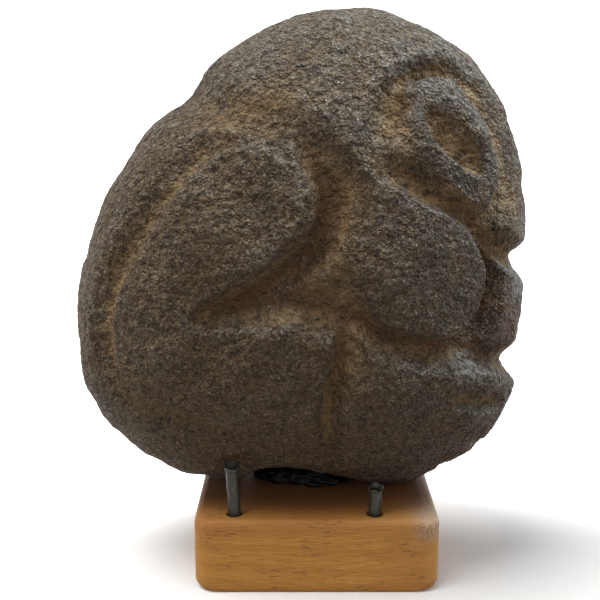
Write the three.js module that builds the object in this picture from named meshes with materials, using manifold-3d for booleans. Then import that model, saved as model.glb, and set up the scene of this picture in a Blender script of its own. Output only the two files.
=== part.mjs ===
// A carved stone head on a small wood block, in millimetres, +Z up.
// The face looks along +X, the head's sides face -Y and +Y, and the origin is the
// middle of the footprint of the whole piece, on the surface it stands on.
import * as THREE from "three";
import { mergeVertices } from "three/addons/utils/BufferGeometryUtils.js";
import Module from "manifold-3d";

// The wood block: a squared offcut of board, 24.8 mm thick, with worn edges.
const BLOCK_BACK = -34;
const BLOCK_FRONT = 44.8;
const BLOCK_HALF_DEPTH = 39.5;
const BLOCK_TOP = 24.8;
const BLOCK_CORNER = 5;
const BLOCK_UNDER_EDGE = 3.5;
const BLOCK_TOP_EDGE = 2.2;
// The top edge on the face side is worn back further than the others.
const BLOCK_WORN_EDGE = 4.5;

// Two stubs of thin tube stand in blind holes close to one long edge of the block.
const TUBE_RADIUS = 2;
const TUBE_WALL = 0.5;
const TUBE_LINE_Y = -34;
const HOLE_DEPTH = 12;
const HOLE_CLEARANCE = 0.4;
const TUBE_SIDES = 12;
const TUBES = [
  { name: "tube_pin_back", x: -21, rise: 17.4, lean: -0.9 },
  { name: "tube_pin_front", x: 24, rise: 10.2, lean: 0.3 },
];

// The head's plain form: a pebble about 159 mm high, 150 deep and 101 thick.
// Its profile is a closed smooth curve through these x, z points, from the
// nose up over the crown, down the back and along the underside to the chin.
const PEBBLE_HEART = new THREE.Vector3(0, 0, 100);
const PEBBLE_HALF_THICKNESS = 50;
const PROFILE = [
  [74.6, 91], [74.3, 102], [73.4, 123], [71.4, 134], [67.6, 147], [61.7, 159.5],
  [52.5, 169.4], [42, 176], [28, 181.6], [14, 183.2], [0, 181.2], [-15.5, 174.5],
  [-28, 165.5], [-32, 160], [-36.2, 155.1], [-47.8, 146.4], [-58.2, 132.6],
  [-68.2, 114], [-74, 93.5], [-75.3, 82], [-73.6, 64], [-66, 47], [-59.3, 39.2],
  [-44, 29.2], [-25, 24.8], [-16, 24.2], [8, 25.2], [30, 24], [38.5, 24.6],
  [52.3, 30.6], [64.3, 40.2], [70.4, 51.2], [73, 63], [73.8, 76],
];
// How square the pebble's thickness is: 2 is an ellipse, more is boxier.
const SIDE_FULLNESS = 2.3;
const UNDERSIDE_FULLNESS = 1.98;

// The carving on one side, mirrored on the other. Each cut follows a smooth path,
// with rows of x, z, depth, and the width of its slope left and right of the path.
const CUTS = {
  nape: [[-33.4, 155.2, 2, 11, 13], [-21.8, 151.1, 2.6, 10, 10],
    [-1.1, 145.5, 1.6, 10, 10], [5.1, 138.4, 1.2, 10, 10]],
  outsideOfArm: [[-9.7, 147.1, 0.8, 5, 8], [-27.7, 140.6, 2.8, 5, 9],
    [-42.8, 123.7, 3.2, 5, 9], [-57.7, 99.8, 3.2, 5, 9], [-60.5, 78, 3, 5, 9],
    [-52.9, 63.5, 2.6, 5, 9], [-26.3, 54.2, 2.4, 5, 9], [5.8, 41.1, 2.4, 5, 8]],
  insideOfArm: [[-2.8, 148.2, 0.5, 8, 6], [6.8, 132.8, 6.5, 15, 6.5],
    [7.1, 123.4, 7.5, 15, 6.5], [3.1, 114.1, 8, 15, 6.5], [-5.2, 105.4, 8, 13, 6.5],
    [-15.9, 98.3, 7.5, 9, 6.5], [-27.1, 93.2, 5, 5, 5]],
  topOfForearm: [[-29.8, 91.8, 3, 4, 4], [-21.7, 94.5, 5, 7, 7],
    [-11.5, 96.9, 6, 12, 9.5], [0, 97.2, 6, 14, 10.5], [14.5, 91.5, 5, 9, 8]],
  endOfForearm: [[13.9, 93.2, 4, 9, 6], [11.7, 79.8, 5.4, 12, 4],
    [7.9, 59.8, 4.6, 7, 4], [8.4, 38.9, 2.4, 7, 5]],
  underCheek: [[10, 113.2, 2.5, 9, 9], [11.5, 103, 4, 8, 10], [20.9, 90.1, 6, 3.5, 8],
    [34.5, 84.2, 6, 3.5, 9], [49.2, 81.4, 6, 4, 9], [62.6, 76, 5.8, 6, 7],
    [74, 67.8, 5.4, 9.5, 7.5]],
  cheekToNose: [[49.9, 121.5, 3, 5, 5], [57.7, 110.7, 6.5, 6, 4.5],
    [59.4, 97.6, 8, 7, 5], [54.7, 85.6, 8.5, 8, 5], [50.7, 83, 7, 7, 5]],
  underEye: [[19.8, 141.1, 1.5, 7, 8], [28.8, 133.6, 3.6, 8, 5],
    [41.6, 126.4, 4.8, 8, 4.5], [53.2, 119.2, 5.8, 8, 4.5], [63.2, 109.6, 5.4, 7, 5.5],
    [74.6, 103.8, 5, 6, 10.5]],
  roundEye: [[21.5, 140.5, 1.8, 8, 7], [26.6, 152.4, 4.8, 9, 7], [35, 163, 7, 6, 4.5],
    [46.8, 163.1, 5.2, 8, 4], [56.8, 151.4, 3.4, 11, 4], [62.1, 135.4, 2.6, 12, 4],
    [57, 117.5, 5.5, 7, 5]],
  mouth: [[42.8, 66.2, 0.3, 5, 2.5], [49.5, 63.4, 2.6, 7, 3], [56, 61, 3.8, 7, 3],
    [62, 59.4, 3.2, 6.5, 3], [67, 58.6, 0.3, 5, 3]],
  underLip: [[37, 56.9, 0.3, 3, 3], [43.4, 54.4, 1.8, 4, 4], [48.9, 51.5, 2.2, 4, 4],
    [62, 39.2, 2, 4, 4]],
  chinFold: [[38.4, 40.1, 0.3, 3, 3], [44.8, 36.3, 1.4, 3.5, 3.5],
    [50.5, 30.2, 1.4, 3.5, 3.5]],
};
// The pit of the eye is one more cut, made in the ring: steep below and long above.
const EYE_PIT = [[36, 153, 0.4, 7, 3], [37.6, 149.5, 3, 9, 3], [40.1, 144.7, 4.6, 12, 3],
  [43.7, 140.5, 5.2, 12, 3], [47.5, 137.5, 5.2, 11, 3], [51, 135.2, 4, 9, 3],
  [54.2, 133.4, 0.6, 6, 3]];
const CUT_STEPS = 6;
// Where cuts meet, the deeper one wins, and a higher power makes a sharper join.
const CUT_JOIN = 4;
// The carving on the far side is a little shallower.
const FAR_SIDE_DEPTH = 0.85;

// Ovals lie on the side of the pebble: centre x, z, half length, half width and
// the tilt of the long axis from upright, in degrees.
const EYE_RING = { x: 44.9, z: 142.5, length: 24.3, width: 14.3, tilt: -25, rise: 2.2 };
const SWELLS = [
  { x: 32.5, z: 107, length: 27, width: 25, tilt: 15, rise: 2 },
  { x: -21, z: 112, length: 39, width: 20, tilt: -40, rise: 1.6 },
  { x: 30, z: 62, length: 30, width: 20, tilt: 80, rise: 1.2 },
];

// A dent low on the near side, where the stone turns under at its back.
const DENT = { x: -19, z: 38, length: 9, width: 6, tilt: 60, rise: -4 };

// The hollow of the underside between its two points of rest, highest towards the
// back. It opens upwards towards both sides of the head, with the square of the
// distance from the middle.
const ARCH_BACK = -20;
const ARCH_FRONT = 27;
const ARCH_HEIGHT = 6.2;
const ARCH_FLARE = 0.0095;

// Cells of the head's mesh across a broad side, and through its thickness. They
// are closest together towards the face.
const SIDE_CELLS = 35;
const EDGE_CELLS = 14;
const BROAD_SIDE = 1.6;
const FACEWARD = 0.25;
// A slope narrower than this is widened to it, so that the cells can follow it.
const LEAST_SLOPE = 5.2;

// The bed of black putty under the arch.
const PUTTY_MIDDLE = 3;
const PUTTY_HALF_LENGTH = 20;
const PUTTY_HALF_WIDTH = 14;
const GAP = 0.4;

const stone = new THREE.MeshStandardMaterial({ color: 0x5c564d, roughness: 0.9, metalness: 0 });
const wood = new THREE.MeshStandardMaterial({ color: 0xb98f5c, roughness: 0.6, metalness: 0 });
const tubing = new THREE.MeshStandardMaterial({ color: 0x6a6d66, roughness: 0.45, metalness: 0.6 });
const putty = new THREE.MeshStandardMaterial({ color: 0x15161a, roughness: 0.3, metalness: 0 });

function smooth(t) {
  const c = THREE.MathUtils.clamp(t, 0, 1);
  return c * c * (3 - 2 * c);
}

// Smooth rows of numbers through the given rows, a fixed number of steps apart.
function smoothRows(rows, steps) {
  const out = [];
  const last = rows.length - 1;
  for (let i = 0; i < last; i++) {
    const [a, b, c, d] = [i - 1, i, i + 1, i + 2].map((k) => rows[THREE.MathUtils.clamp(k, 0, last)]);
    for (let k = 0; k < steps; k++) {
      const t = k / steps;
      out.push(b.map((_, j) => {
        const bend = 2 * a[j] - 5 * b[j] + 4 * c[j] - d[j];
        const twist = 3 * (b[j] - c[j]) + d[j] - a[j];
        return 0.5 * (2 * b[j] + (c[j] - a[j]) * t + bend * t * t + twist * t * t * t);
      }));
    }
  }
  out.push(rows[last]);
  return out;
}

// The profile as polar points about the heart of the pebble, in turning order.
const profilePolar = PROFILE.map(([x, z]) => ({
  angle: Math.atan2(z - PEBBLE_HEART.z, x - PEBBLE_HEART.x),
  radius: Math.hypot(x - PEBBLE_HEART.x, z - PEBBLE_HEART.z),
})).sort((p, q) => p.angle - q.angle);

function polarPoint(k) {
  const n = profilePolar.length;
  const turn = Math.floor(k / n);
  const p = profilePolar[k - turn * n];
  return { angle: p.angle + turn * 2 * Math.PI, radius: p.radius };
}

// Distance from the heart to the profile at an angle.
function profileRadius(angle) {
  const first = profilePolar[0].angle;
  const full = 2 * Math.PI;
  const a = first + ((((angle - first) % full) + full) % full);
  let i = profilePolar.length - 1;
  while (i > 0 && profilePolar[i].angle > a) i -= 1;
  const [p0, p1, p2, p3] = [i - 1, i, i + 1, i + 2].map(polarPoint);
  const h = p2.angle - p1.angle;
  const t = (a - p1.angle) / h;
  const slope1 = (p2.radius - p0.radius) / (p2.angle - p0.angle);
  const slope2 = (p3.radius - p1.radius) / (p3.angle - p1.angle);
  const t2 = t * t;
  const t3 = t2 * t;
  return (2 * t3 - 3 * t2 + 1) * p1.radius + (t3 - 2 * t2 + t) * h * slope1
    + (3 * t2 - 2 * t3) * p2.radius + (t3 - t2) * h * slope2;
}

function fullness(upward) {
  return SIDE_FULLNESS + (UNDERSIDE_FULLNESS - SIDE_FULLNESS) * smooth((-upward - 0.45) / 0.4);
}

// 1 on the pebble's surface, less inside it and more outside.
function pebbleLevel(point) {
  const d = point.clone().sub(PEBBLE_HEART);
  const n = fullness(d.z / d.length());
  const across = Math.hypot(d.x, d.z) / profileRadius(Math.atan2(d.z, d.x));
  const through = Math.abs(d.y) / PEBBLE_HALF_THICKNESS;
  return (across ** n + through ** n) ** (1 / n);
}

function pebblePoint(direction) {
  const near = PEBBLE_HEART.clone().add(direction);
  return PEBBLE_HEART.clone().addScaledVector(direction, 1 / pebbleLevel(near));
}

function pebbleNormal(point) {
  const step = 1.5;
  const slope = new THREE.Vector3();
  for (let axis = 0; axis < 3; axis++) {
    const ahead = point.clone();
    const behind = point.clone();
    ahead.setComponent(axis, point.getComponent(axis) + step);
    behind.setComponent(axis, point.getComponent(axis) - step);
    slope.setComponent(axis, pebbleLevel(ahead) - pebbleLevel(behind));
  }
  return slope.normalize();
}

// The point of the near side at x, z, or on the profile when that lies beyond it.
function sidePoint(x, z) {
  const angle = Math.atan2(z - PEBBLE_HEART.z, x - PEBBLE_HEART.x);
  const reach = profileRadius(angle);
  const out = Math.min(Math.hypot(x - PEBBLE_HEART.x, z - PEBBLE_HEART.z), reach);
  const y = -PEBBLE_HALF_THICKNESS * (1 - (out / reach) ** SIDE_FULLNESS) ** (1 / SIDE_FULLNESS);
  return new THREE.Vector3(PEBBLE_HEART.x + out * Math.cos(angle), y, PEBBLE_HEART.z + out * Math.sin(angle));
}

// A cut as short straight stretches, each with the direction that is left of it.
function stretchesOf(rows) {
  const fine = smoothRows(rows, CUT_STEPS);
  const points = fine.map(([x, z]) => sidePoint(x, z));
  return fine.slice(0, -1).map((row, k) => {
    const along = points[k + 1].clone().sub(points[k]);
    const left = pebbleNormal(points[k]).cross(along).normalize();
    return { start: points[k], along, left, from: row.slice(2), to: fine[k + 1].slice(2) };
  });
}

const cutStretches = Object.values(CUTS).map(stretchesOf);
const pitStretches = stretchesOf(EYE_PIT);

function cutDepth(point, stretches) {
  let best = { distance: Infinity };
  for (const s of stretches) {
    const off = point.clone().sub(s.start);
    const t = THREE.MathUtils.clamp(off.dot(s.along) / s.along.lengthSq(), 0, 1);
    off.addScaledVector(s.along, -t);
    const distance = off.length();
    if (distance < best.distance) best = { distance, t, off, s };
  }
  const [depth, left, right] = best.s.from.map((v, k) => v + (best.s.to[k] - v) * best.t);
  const side = best.off.dot(best.s.left) / Math.max(best.distance, 1e-6);
  const width = Math.max(right + (left - right) * smooth((side + 1) / 2), LEAST_SLOPE);
  return depth * (1 - smooth(best.distance / width));
}

// The frame of an oval on the side of the pebble.
function placeOval(oval) {
  const centre = sidePoint(oval.x, oval.z);
  const out = pebbleNormal(centre);
  const level = new THREE.Vector3(0, 0, 1).cross(out).normalize();
  const upright = out.clone().cross(level);
  const tilt = THREE.MathUtils.degToRad(oval.tilt);
  const long = upright.multiplyScalar(Math.cos(tilt)).addScaledVector(level, Math.sin(tilt));
  const short = long.clone().cross(out);
  return { ...oval, centre, out, long, short };
}

// Where a point lies in an oval: 0 at its centre, 1 on its edge, and how far
// across it, from -1 to 1.
function ovalPlace(point, oval) {
  const d = point.clone().sub(oval.centre);
  const across = d.dot(oval.short) / oval.width;
  const reach = Math.hypot(d.dot(oval.long) / oval.length, across);
  return { reach: d.dot(oval.out) < -22 ? 9 : reach, across };
}

const eyeRing = placeOval(EYE_RING);
const swells = [...SWELLS, DENT].map(placeOval);

// Height of the carved surface over the plain pebble at a point of it.
function carving(pebble) {
  const point = new THREE.Vector3(pebble.x, -Math.abs(pebble.y), pebble.z);
  let cuts = 0;
  for (const stretches of cutStretches) cuts += cutDepth(point, stretches) ** CUT_JOIN;
  let height = -(cuts ** (1 / CUT_JOIN));
  const ring = ovalPlace(point, eyeRing);
  // The ring falls off more gently on its low side.
  const lowSide = smooth(-1.2 * ring.across);
  const onRing = 1 - smooth((ring.reach - 0.8 + 0.28 * lowSide) / (0.24 + 0.34 * lowSide));
  height += onRing * (eyeRing.rise * (1 - 0.4 * ring.reach ** 2) - height);
  height -= onRing * cutDepth(point, pitStretches);
  for (const swell of swells) height += swell.rise * (1 - smooth(ovalPlace(point, swell).reach / 1.15));
  return height * (1 - (1 - FAR_SIDE_DEPTH) * smooth(pebble.y / 20));
}

// Slow unevenness of a hand-worked stone, different on the two sides.
function unevenness(p) {
  const slow = Math.sin(p.x * 0.17 + p.z * 0.05 + 1) * Math.sin(p.y * 0.13 + p.z * 0.11 + 0.4);
  return 0.45 * slow + 0.25 * Math.sin(p.x * 0.31 - p.z * 0.27 + p.y * 0.2);
}

function archHeight(x, y) {
  const t = THREE.MathUtils.clamp((x - ARCH_BACK) / (ARCH_FRONT - ARCH_BACK), 0, 1);
  return BLOCK_TOP + (ARCH_HEIGHT + ARCH_FLARE * y * y) * 2.1 * t ** 0.35 * (1 - t) ** 0.9;
}

function headPoint(direction) {
  const plain = pebblePoint(direction);
  const height = carving(plain) + unevenness(plain);
  const point = plain.clone().addScaledVector(pebbleNormal(plain), height);
  point.z = Math.max(point.z, archHeight(point.x, point.y));
  return { point, height };
}

// Places of the grid lines along one axis of the box, from -1 to 1.
function gridLines(axis, count) {
  return Array.from({ length: count + 1 }, (_, k) => {
    const t = k / count;
    const s = axis === 0 ? t * (1 + FACEWARD * (1 - t)) : t;
    return Math.tan((s - 0.5) * Math.PI / 2);
  });
}

// A box whose cells are pushed out to the head's surface, finest on its two sides.
// Each cell is split along the diagonal whose two ends lie at the most even height.
function headGeometry() {
  const cells = [SIDE_CELLS, EDGE_CELLS, SIDE_CELLS];
  const lines = cells.map((count, axis) => gridLines(axis, count));
  const positions = [];
  const heights = [];
  const index = [];
  for (let axis = 0; axis < 3; axis++) {
    const [u, w] = [(axis + 1) % 3, (axis + 2) % 3];
    for (const side of [1, -1]) {
      const start = heights.length;
      for (let i = 0; i <= cells[u]; i++) {
        for (let j = 0; j <= cells[w]; j++) {
          const d = new THREE.Vector3();
          d.setComponent(axis, side);
          d.setComponent(u, lines[u][i]);
          d.setComponent(w, lines[w][side > 0 ? j : cells[w] - j]);
          d.multiply(new THREE.Vector3(BROAD_SIDE, 1, BROAD_SIDE)).normalize();
          const { point, height } = headPoint(d);
          positions.push(...point.toArray());
          heights.push(height);
        }
      }
      const row = cells[w] + 1;
      for (let i = 0; i < cells[u]; i++) {
        for (let j = 0; j < cells[w]; j++) {
          const a = start + i * row + j;
          const [b, c, d] = [a + row, a + row + 1, a + 1];
          const first = Math.abs(heights[a] - heights[c]) <= Math.abs(heights[b] - heights[d]);
          index.push(...(first ? [a, b, c, a, c, d] : [a, b, d, b, c, d]));
        }
      }
    }
  }
  return closedMesh(positions, index);
}

function closedMesh(positions, index) {
  const geometry = new THREE.BufferGeometry();
  geometry.setAttribute("position", new THREE.Float32BufferAttribute(positions, 3));
  geometry.setIndex(index);
  const merged = mergeVertices(geometry, 1e-3);
  merged.computeVertexNormals();
  return merged;
}

// A closed solid through rings of points, each ring listed the same way round.
function loft(rings) {
  const count = rings[0].length;
  const positions = rings.flat(2);
  const index = [];
  for (let r = 0; r < rings.length - 1; r++) {
    for (let k = 0; k < count; k++) {
      const a = r * count + k;
      const b = r * count + ((k + 1) % count);
      index.push(a, b, b + count, a, b + count, a + count);
    }
  }
  const top = (rings.length - 1) * count;
  for (let k = 1; k < count - 1; k++) {
    index.push(0, k + 1, k);
    index.push(top, top + k, top + k + 1);
  }
  return closedMesh(positions, index);
}

// One level of the block: its rectangle drawn in by an inset, with round corners.
function blockRing(z, inset, frontInset) {
  const turns = 5;
  const right = BLOCK_FRONT - frontInset - BLOCK_CORNER;
  const left = BLOCK_BACK + inset + BLOCK_CORNER;
  const far = BLOCK_HALF_DEPTH - inset - BLOCK_CORNER;
  const corners = [[right, far], [left, far], [left, -far], [right, -far]];
  return corners.flatMap(([x, y], c) => Array.from({ length: turns }, (_, k) => {
    const angle = (c + k / (turns - 1)) * Math.PI / 2;
    return [x + BLOCK_CORNER * Math.cos(angle), y + BLOCK_CORNER * Math.sin(angle), z];
  }));
}

function blockGeometry() {
  const steps = 4;
  const rings = [];
  for (let k = 0; k <= steps; k++) {
    const angle = k / steps * Math.PI / 2;
    const inset = BLOCK_UNDER_EDGE * (1 - Math.sin(angle)) * 0.8;
    rings.push(blockRing(BLOCK_UNDER_EDGE * (1 - Math.cos(angle)), inset, inset));
  }
  for (let k = 0; k <= steps; k++) {
    const angle = k / steps * Math.PI / 2;
    const z = BLOCK_TOP - BLOCK_WORN_EDGE * 0.6 * (1 - Math.sin(angle));
    const drawn = 1 - Math.cos(angle);
    rings.push(blockRing(z, BLOCK_TOP_EDGE * drawn, BLOCK_WORN_EDGE * drawn));
  }
  return loft(rings);
}

function tubeGeometry(tube) {
  const inner = TUBE_RADIUS - TUBE_WALL;
  const bottom = BLOCK_TOP - HOLE_DEPTH;
  const top = BLOCK_TOP + tube.rise;
  const section = [[inner, bottom], [TUBE_RADIUS, bottom], [TUBE_RADIUS, BLOCK_TOP],
    [TUBE_RADIUS, top], [inner, top], [inner, BLOCK_TOP], [inner, bottom]];
  const geometry = new THREE.LatheGeometry(section.map(([r, h]) => new THREE.Vector2(r, h)), TUBE_SIDES);
  geometry.rotateX(Math.PI / 2);
  geometry.deleteAttribute("normal");
  geometry.deleteAttribute("uv");
  const merged = mergeVertices(geometry, 1e-3);
  const position = merged.getAttribute("position");
  for (let k = 0; k < position.count; k++) {
    const over = Math.max(position.getZ(k) - BLOCK_TOP, 0) / tube.rise;
    position.setX(k, position.getX(k) + tube.x + tube.lean * over);
    position.setY(k, position.getY(k) + TUBE_LINE_Y);
  }
  return merged;
}

// The putty fills the arch, a little below the stone, and rests on the block.
function puttyGeometry() {
  const around = 20;
  const levels = [1, 0.93, 0.72, 0.4];
  const ring = (scale, lift) => Array.from({ length: around }, (_, k) => {
    const angle = k / around * 2 * Math.PI;
    const x = PUTTY_MIDDLE + PUTTY_HALF_LENGTH * scale * Math.cos(angle);
    const y = PUTTY_HALF_WIDTH * scale * Math.sin(angle);
    return [x, y, BLOCK_TOP + lift * (archHeight(x, y) - GAP - BLOCK_TOP)];
  });
  const rings = levels.map((scale) => ring(scale, (1 - scale ** 4) ** 0.5));
  return loft([ring(0.95, 0), ring(1, 0.25), ...rings.slice(1)]);
}

const wasm = await Module();
wasm.setup();

function solidOf(geometry) {
  const bare = new THREE.BufferGeometry();
  bare.setAttribute("position", geometry.getAttribute("position"));
  bare.setIndex(geometry.getIndex());
  const merged = mergeVertices(bare, 1e-3);
  return new wasm.Manifold(new wasm.Mesh({
    numProp: 3,
    vertProperties: new Float32Array(merged.getAttribute("position").array),
    triVerts: new Uint32Array(merged.getIndex().array),
  }));
}

function geometryOf(solid) {
  const mesh = solid.getMesh();
  const geometry = new THREE.BufferGeometry();
  geometry.setAttribute("position", new THREE.Float32BufferAttribute(mesh.vertProperties, 3));
  geometry.setIndex(Array.from(mesh.triVerts));
  geometry.computeVertexNormals();
  return geometry;
}

// The block with a blind hole for each tube.
function drilledBlock() {
  let solid = solidOf(blockGeometry());
  for (const tube of TUBES) {
    const length = HOLE_DEPTH + GAP + 10;
    const drill = new THREE.CylinderGeometry(TUBE_RADIUS + HOLE_CLEARANCE, TUBE_RADIUS + HOLE_CLEARANCE, length, TUBE_SIDES);
    drill.rotateX(Math.PI / 2);
    drill.translate(tube.x, TUBE_LINE_Y, BLOCK_TOP - HOLE_DEPTH - GAP + length / 2);
    solid = solid.subtract(solidOf(drill));
  }
  return geometryOf(solid);
}

function piece(name, geometry, material) {
  const mesh = new THREE.Mesh(geometry, material);
  mesh.name = name;
  return mesh;
}

const sculpture = new THREE.Group();
sculpture.add(piece("stone_head", headGeometry(), stone));
sculpture.add(piece("wood_base", drilledBlock(), wood));
for (const tube of TUBES) sculpture.add(piece(tube.name, tubeGeometry(tube), tubing));
sculpture.add(piece("putty_pad", puttyGeometry(), putty));

export default sculpture;
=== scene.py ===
import math

import bmesh
import bpy
import numpy as np
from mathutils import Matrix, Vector


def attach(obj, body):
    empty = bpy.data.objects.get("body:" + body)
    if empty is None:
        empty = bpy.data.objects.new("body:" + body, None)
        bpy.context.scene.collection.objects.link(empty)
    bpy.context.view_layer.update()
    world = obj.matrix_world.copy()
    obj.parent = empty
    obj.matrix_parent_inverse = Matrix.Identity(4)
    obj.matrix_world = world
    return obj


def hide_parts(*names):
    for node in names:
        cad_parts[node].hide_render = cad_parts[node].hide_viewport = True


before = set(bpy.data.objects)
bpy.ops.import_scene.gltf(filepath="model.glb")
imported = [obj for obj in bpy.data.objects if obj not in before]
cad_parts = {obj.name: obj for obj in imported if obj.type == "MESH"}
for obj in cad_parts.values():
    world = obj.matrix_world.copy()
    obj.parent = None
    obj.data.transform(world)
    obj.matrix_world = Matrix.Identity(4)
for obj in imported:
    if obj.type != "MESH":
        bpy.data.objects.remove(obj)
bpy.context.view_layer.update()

# The base is a square offcut of one-inch softwood board. It is sawn to size, its edges are
# rounded and worn, and two blind holes are drilled along its near edge for the tubes.
# The grain runs along x, so the end grain is at the front and the back. Sizes are in mm.
MM = 0.001
BLOCK_BACK = -34
BLOCK_FRONT = 44.8
BLOCK_HALF_DEPTH = 39.5
BLOCK_TOP = 24.8
BLOCK_CORNER = 6
# How high the rounding of the lower edges reaches, and how far it draws in the ends and the
# long sides. Then the same of the upper edges, for the back, the long sides and the front.
BLOCK_UNDER_EDGE = 3.2
BLOCK_UNDER_INSET = 3.5
BLOCK_UNDER_SIDES = 0.7
BLOCK_TOP_ROUNDING = 2.7
BLOCK_TOP_EDGE = 2.2
BLOCK_LONG_EDGE = 1.3
BLOCK_WORN_EDGE = 4.5
BLOCK_CELLS = (100, 100, 34)
BLOCK_CROWDING = 0.09
HOLES = ((-21, -34), (24, -34))
HOLE_RADIUS = 2.4
HOLE_DEPTH = 12
HOLE_TORN_LIP = 0.7
HOLE_TEARS = 12
POINTS_A_TEAR = 4
PITH_Y = -0.015
PITH_Z = -0.075
PITH_SWAY = 0.012
RINGS_A_METRE = 170
HONEY = (0.68, 0.32, 0.06, 1)
AMBER = (0.48, 0.195, 0.03, 1)
RUSSET = (0.42, 0.13, 0.03, 1)
TORN_WOOD = (0.26, 0.11, 0.03, 1)
PALE_END_GRAIN = (0.5, 0.35, 0.24, 1)
DARK_END_GRAIN = (0.26, 0.15, 0.08, 1)
WOOD_PAINTED_SHADE = (0.38, 0.15, 0.035, 1)
WOOD_IN_SHADE = (0.16, 0.055, 0.014, 1)


def smooth(t):
    """Goes from 0 to 1 with level ends as t does."""
    c = np.clip(t, 0, 1)
    return c * c * (3 - 2 * c)


def box_grid(lines):
    """The surface of a box as points and quads, from its lines' places along x, y and z."""
    points, quads, count = [], [], 0
    for axis in range(3):
        u, w = (axis + 1) % 3, (axis + 2) % 3
        row = len(lines[w])
        for end, turn in ((-1, 1), (0, -1)):
            face = np.zeros((len(lines[u]), row, 3))
            face[..., axis] = lines[axis][end]
            face[..., u] = lines[u][:, None]
            face[..., w] = lines[w][None, ::turn]
            points.append(face.reshape(-1, 3))
            i, j = np.meshgrid(np.arange(len(lines[u]) - 1), np.arange(row - 1), indexing="ij")
            first = (i * row + j).ravel() + count
            quads.append(np.stack([first, first + row, first + row + 1, first + 1], -1))
            count += len(lines[u]) * row
    return np.concatenate(points), np.concatenate(quads)


def new_piece(name, points, faces):
    """A smooth object with that mesh, given in mm, whose doubled corners are merged."""
    mesh = bpy.data.meshes.new(name)
    mesh.from_pydata((np.asarray(points) * MM).tolist(), [], np.asarray(faces).tolist())
    shell = bmesh.new()
    shell.from_mesh(mesh)
    bmesh.ops.remove_doubles(shell, verts=shell.verts, dist=1e-6)
    bmesh.ops.recalc_face_normals(shell, faces=shell.faces)
    shell.to_mesh(mesh)
    shell.free()
    mesh.shade_smooth()
    piece = bpy.data.objects.new(name, mesh)
    bpy.context.scene.collection.objects.link(piece)
    return piece


def settle(piece):
    """What the piece's modifiers make becomes its own plain mesh."""
    bpy.context.view_layer.update()
    made = piece.evaluated_get(bpy.context.evaluated_depsgraph_get())
    piece.data = bpy.data.meshes.new_from_object(made)
    piece.modifiers.clear()
    shell = bmesh.new()
    shell.from_mesh(piece.data)
    bmesh.ops.recalc_face_normals(shell, faces=shell.faces)
    shell.to_mesh(piece.data)
    shell.free()


class Wire:
    """What a node gives. Sums on it add Math nodes."""

    def __init__(self, nodes, socket):
        self.nodes = nodes
        self.socket = socket

    def math(self, operation, *others):
        return self.nodes.math(operation, self, *others)

    def __add__(self, other):
        return self.math("ADD", other)

    def __mul__(self, other):
        return self.math("MULTIPLY", other)

    def __sub__(self, other):
        return self.math("SUBTRACT", other)

    def __rsub__(self, other):
        return self.nodes.math("SUBTRACT", other, self)

    def __truediv__(self, other):
        return self.math("DIVIDE", other)

    def __rtruediv__(self, other):
        return self.nodes.math("DIVIDE", other, self)

    def __pow__(self, other):
        return self.math("POWER", other)

    __radd__ = __add__
    __rmul__ = __mul__

    def size(self):
        return self.math("ABSOLUTE")

    def at_most(self, limit):
        return self.math("MINIMUM", limit)

    def at_least(self, limit):
        return self.math("MAXIMUM", limit)

    def between_0_and_1(self):
        return self.at_least(0).at_most(1)

    def rise(self, low, high):
        """Goes smoothly from 0 at low to 1 at high."""
        return self.nodes.add("ShaderNodeMapRange", {"interpolation_type": "SMOOTHSTEP"},
                              {"Value": self, "From Min": low, "From Max": high})

    def parts(self):
        """The x, y and z of a vector."""
        split = self.nodes.add("ShaderNodeSeparateXYZ", {}, {0: self})
        outputs = split.socket.node.outputs
        return [Wire(self.nodes, outputs[k]) for k in range(3)]


class Nodes:
    """The nodes of one finish or of one shape."""

    def __init__(self, tree):
        self.tree = tree

    def feed(self, plug, value):
        """Links a wire to the socket, or sets it to a plain value."""
        if isinstance(value, Wire):
            self.tree.links.new(value.socket, plug)
        else:
            plug.default_value = value

    def add(self, kind, settings=None, sockets=None, out=0):
        """A new node of that kind: its settings come first, and then its sockets."""
        node = self.tree.nodes.new(kind)
        for name, value in (settings or {}).items():
            setattr(node, name, value)
        for name, value in (sockets or {}).items():
            self.feed(node.inputs[name], value)
        return Wire(self, node.outputs[out])

    def math(self, operation, *values):
        return self.add("ShaderNodeMath", {"operation": operation}, dict(enumerate(values)))

    def vector(self, x, y, z):
        return self.add("ShaderNodeCombineXYZ", {}, {0: x, 1: y, 2: z})

    def scaled(self, vector, scale):
        return self.add("ShaderNodeVectorMath", {"operation": "SCALE"},
                        {0: vector, "Scale": scale})

    def moved(self, vector, offset):
        return self.add("ShaderNodeVectorMath", {"operation": "ADD"}, {0: vector, 1: offset})

    def stretched(self, place, factors):
        """The place with each axis scaled, so that what is drawn there is longest along the
        axis with the least factor."""
        return self.add("ShaderNodeVectorMath", {"operation": "MULTIPLY"},
                        {0: place, 1: factors})

    def noise(self, place, size, detail=3.0, roughness=0.55):
        """Clouds about 0.5, with lumps of about that size in mm."""
        return self.add("ShaderNodeTexNoise", {}, {
            "Vector": place, "Scale": 1 / (size * MM), "Detail": detail,
            "Roughness": roughness})

    def mix(self, factor, first, second):
        return self.add("ShaderNodeMix", {"data_type": "RGBA"},
                        {0: factor, 6: first, 7: second}, 2)


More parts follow.
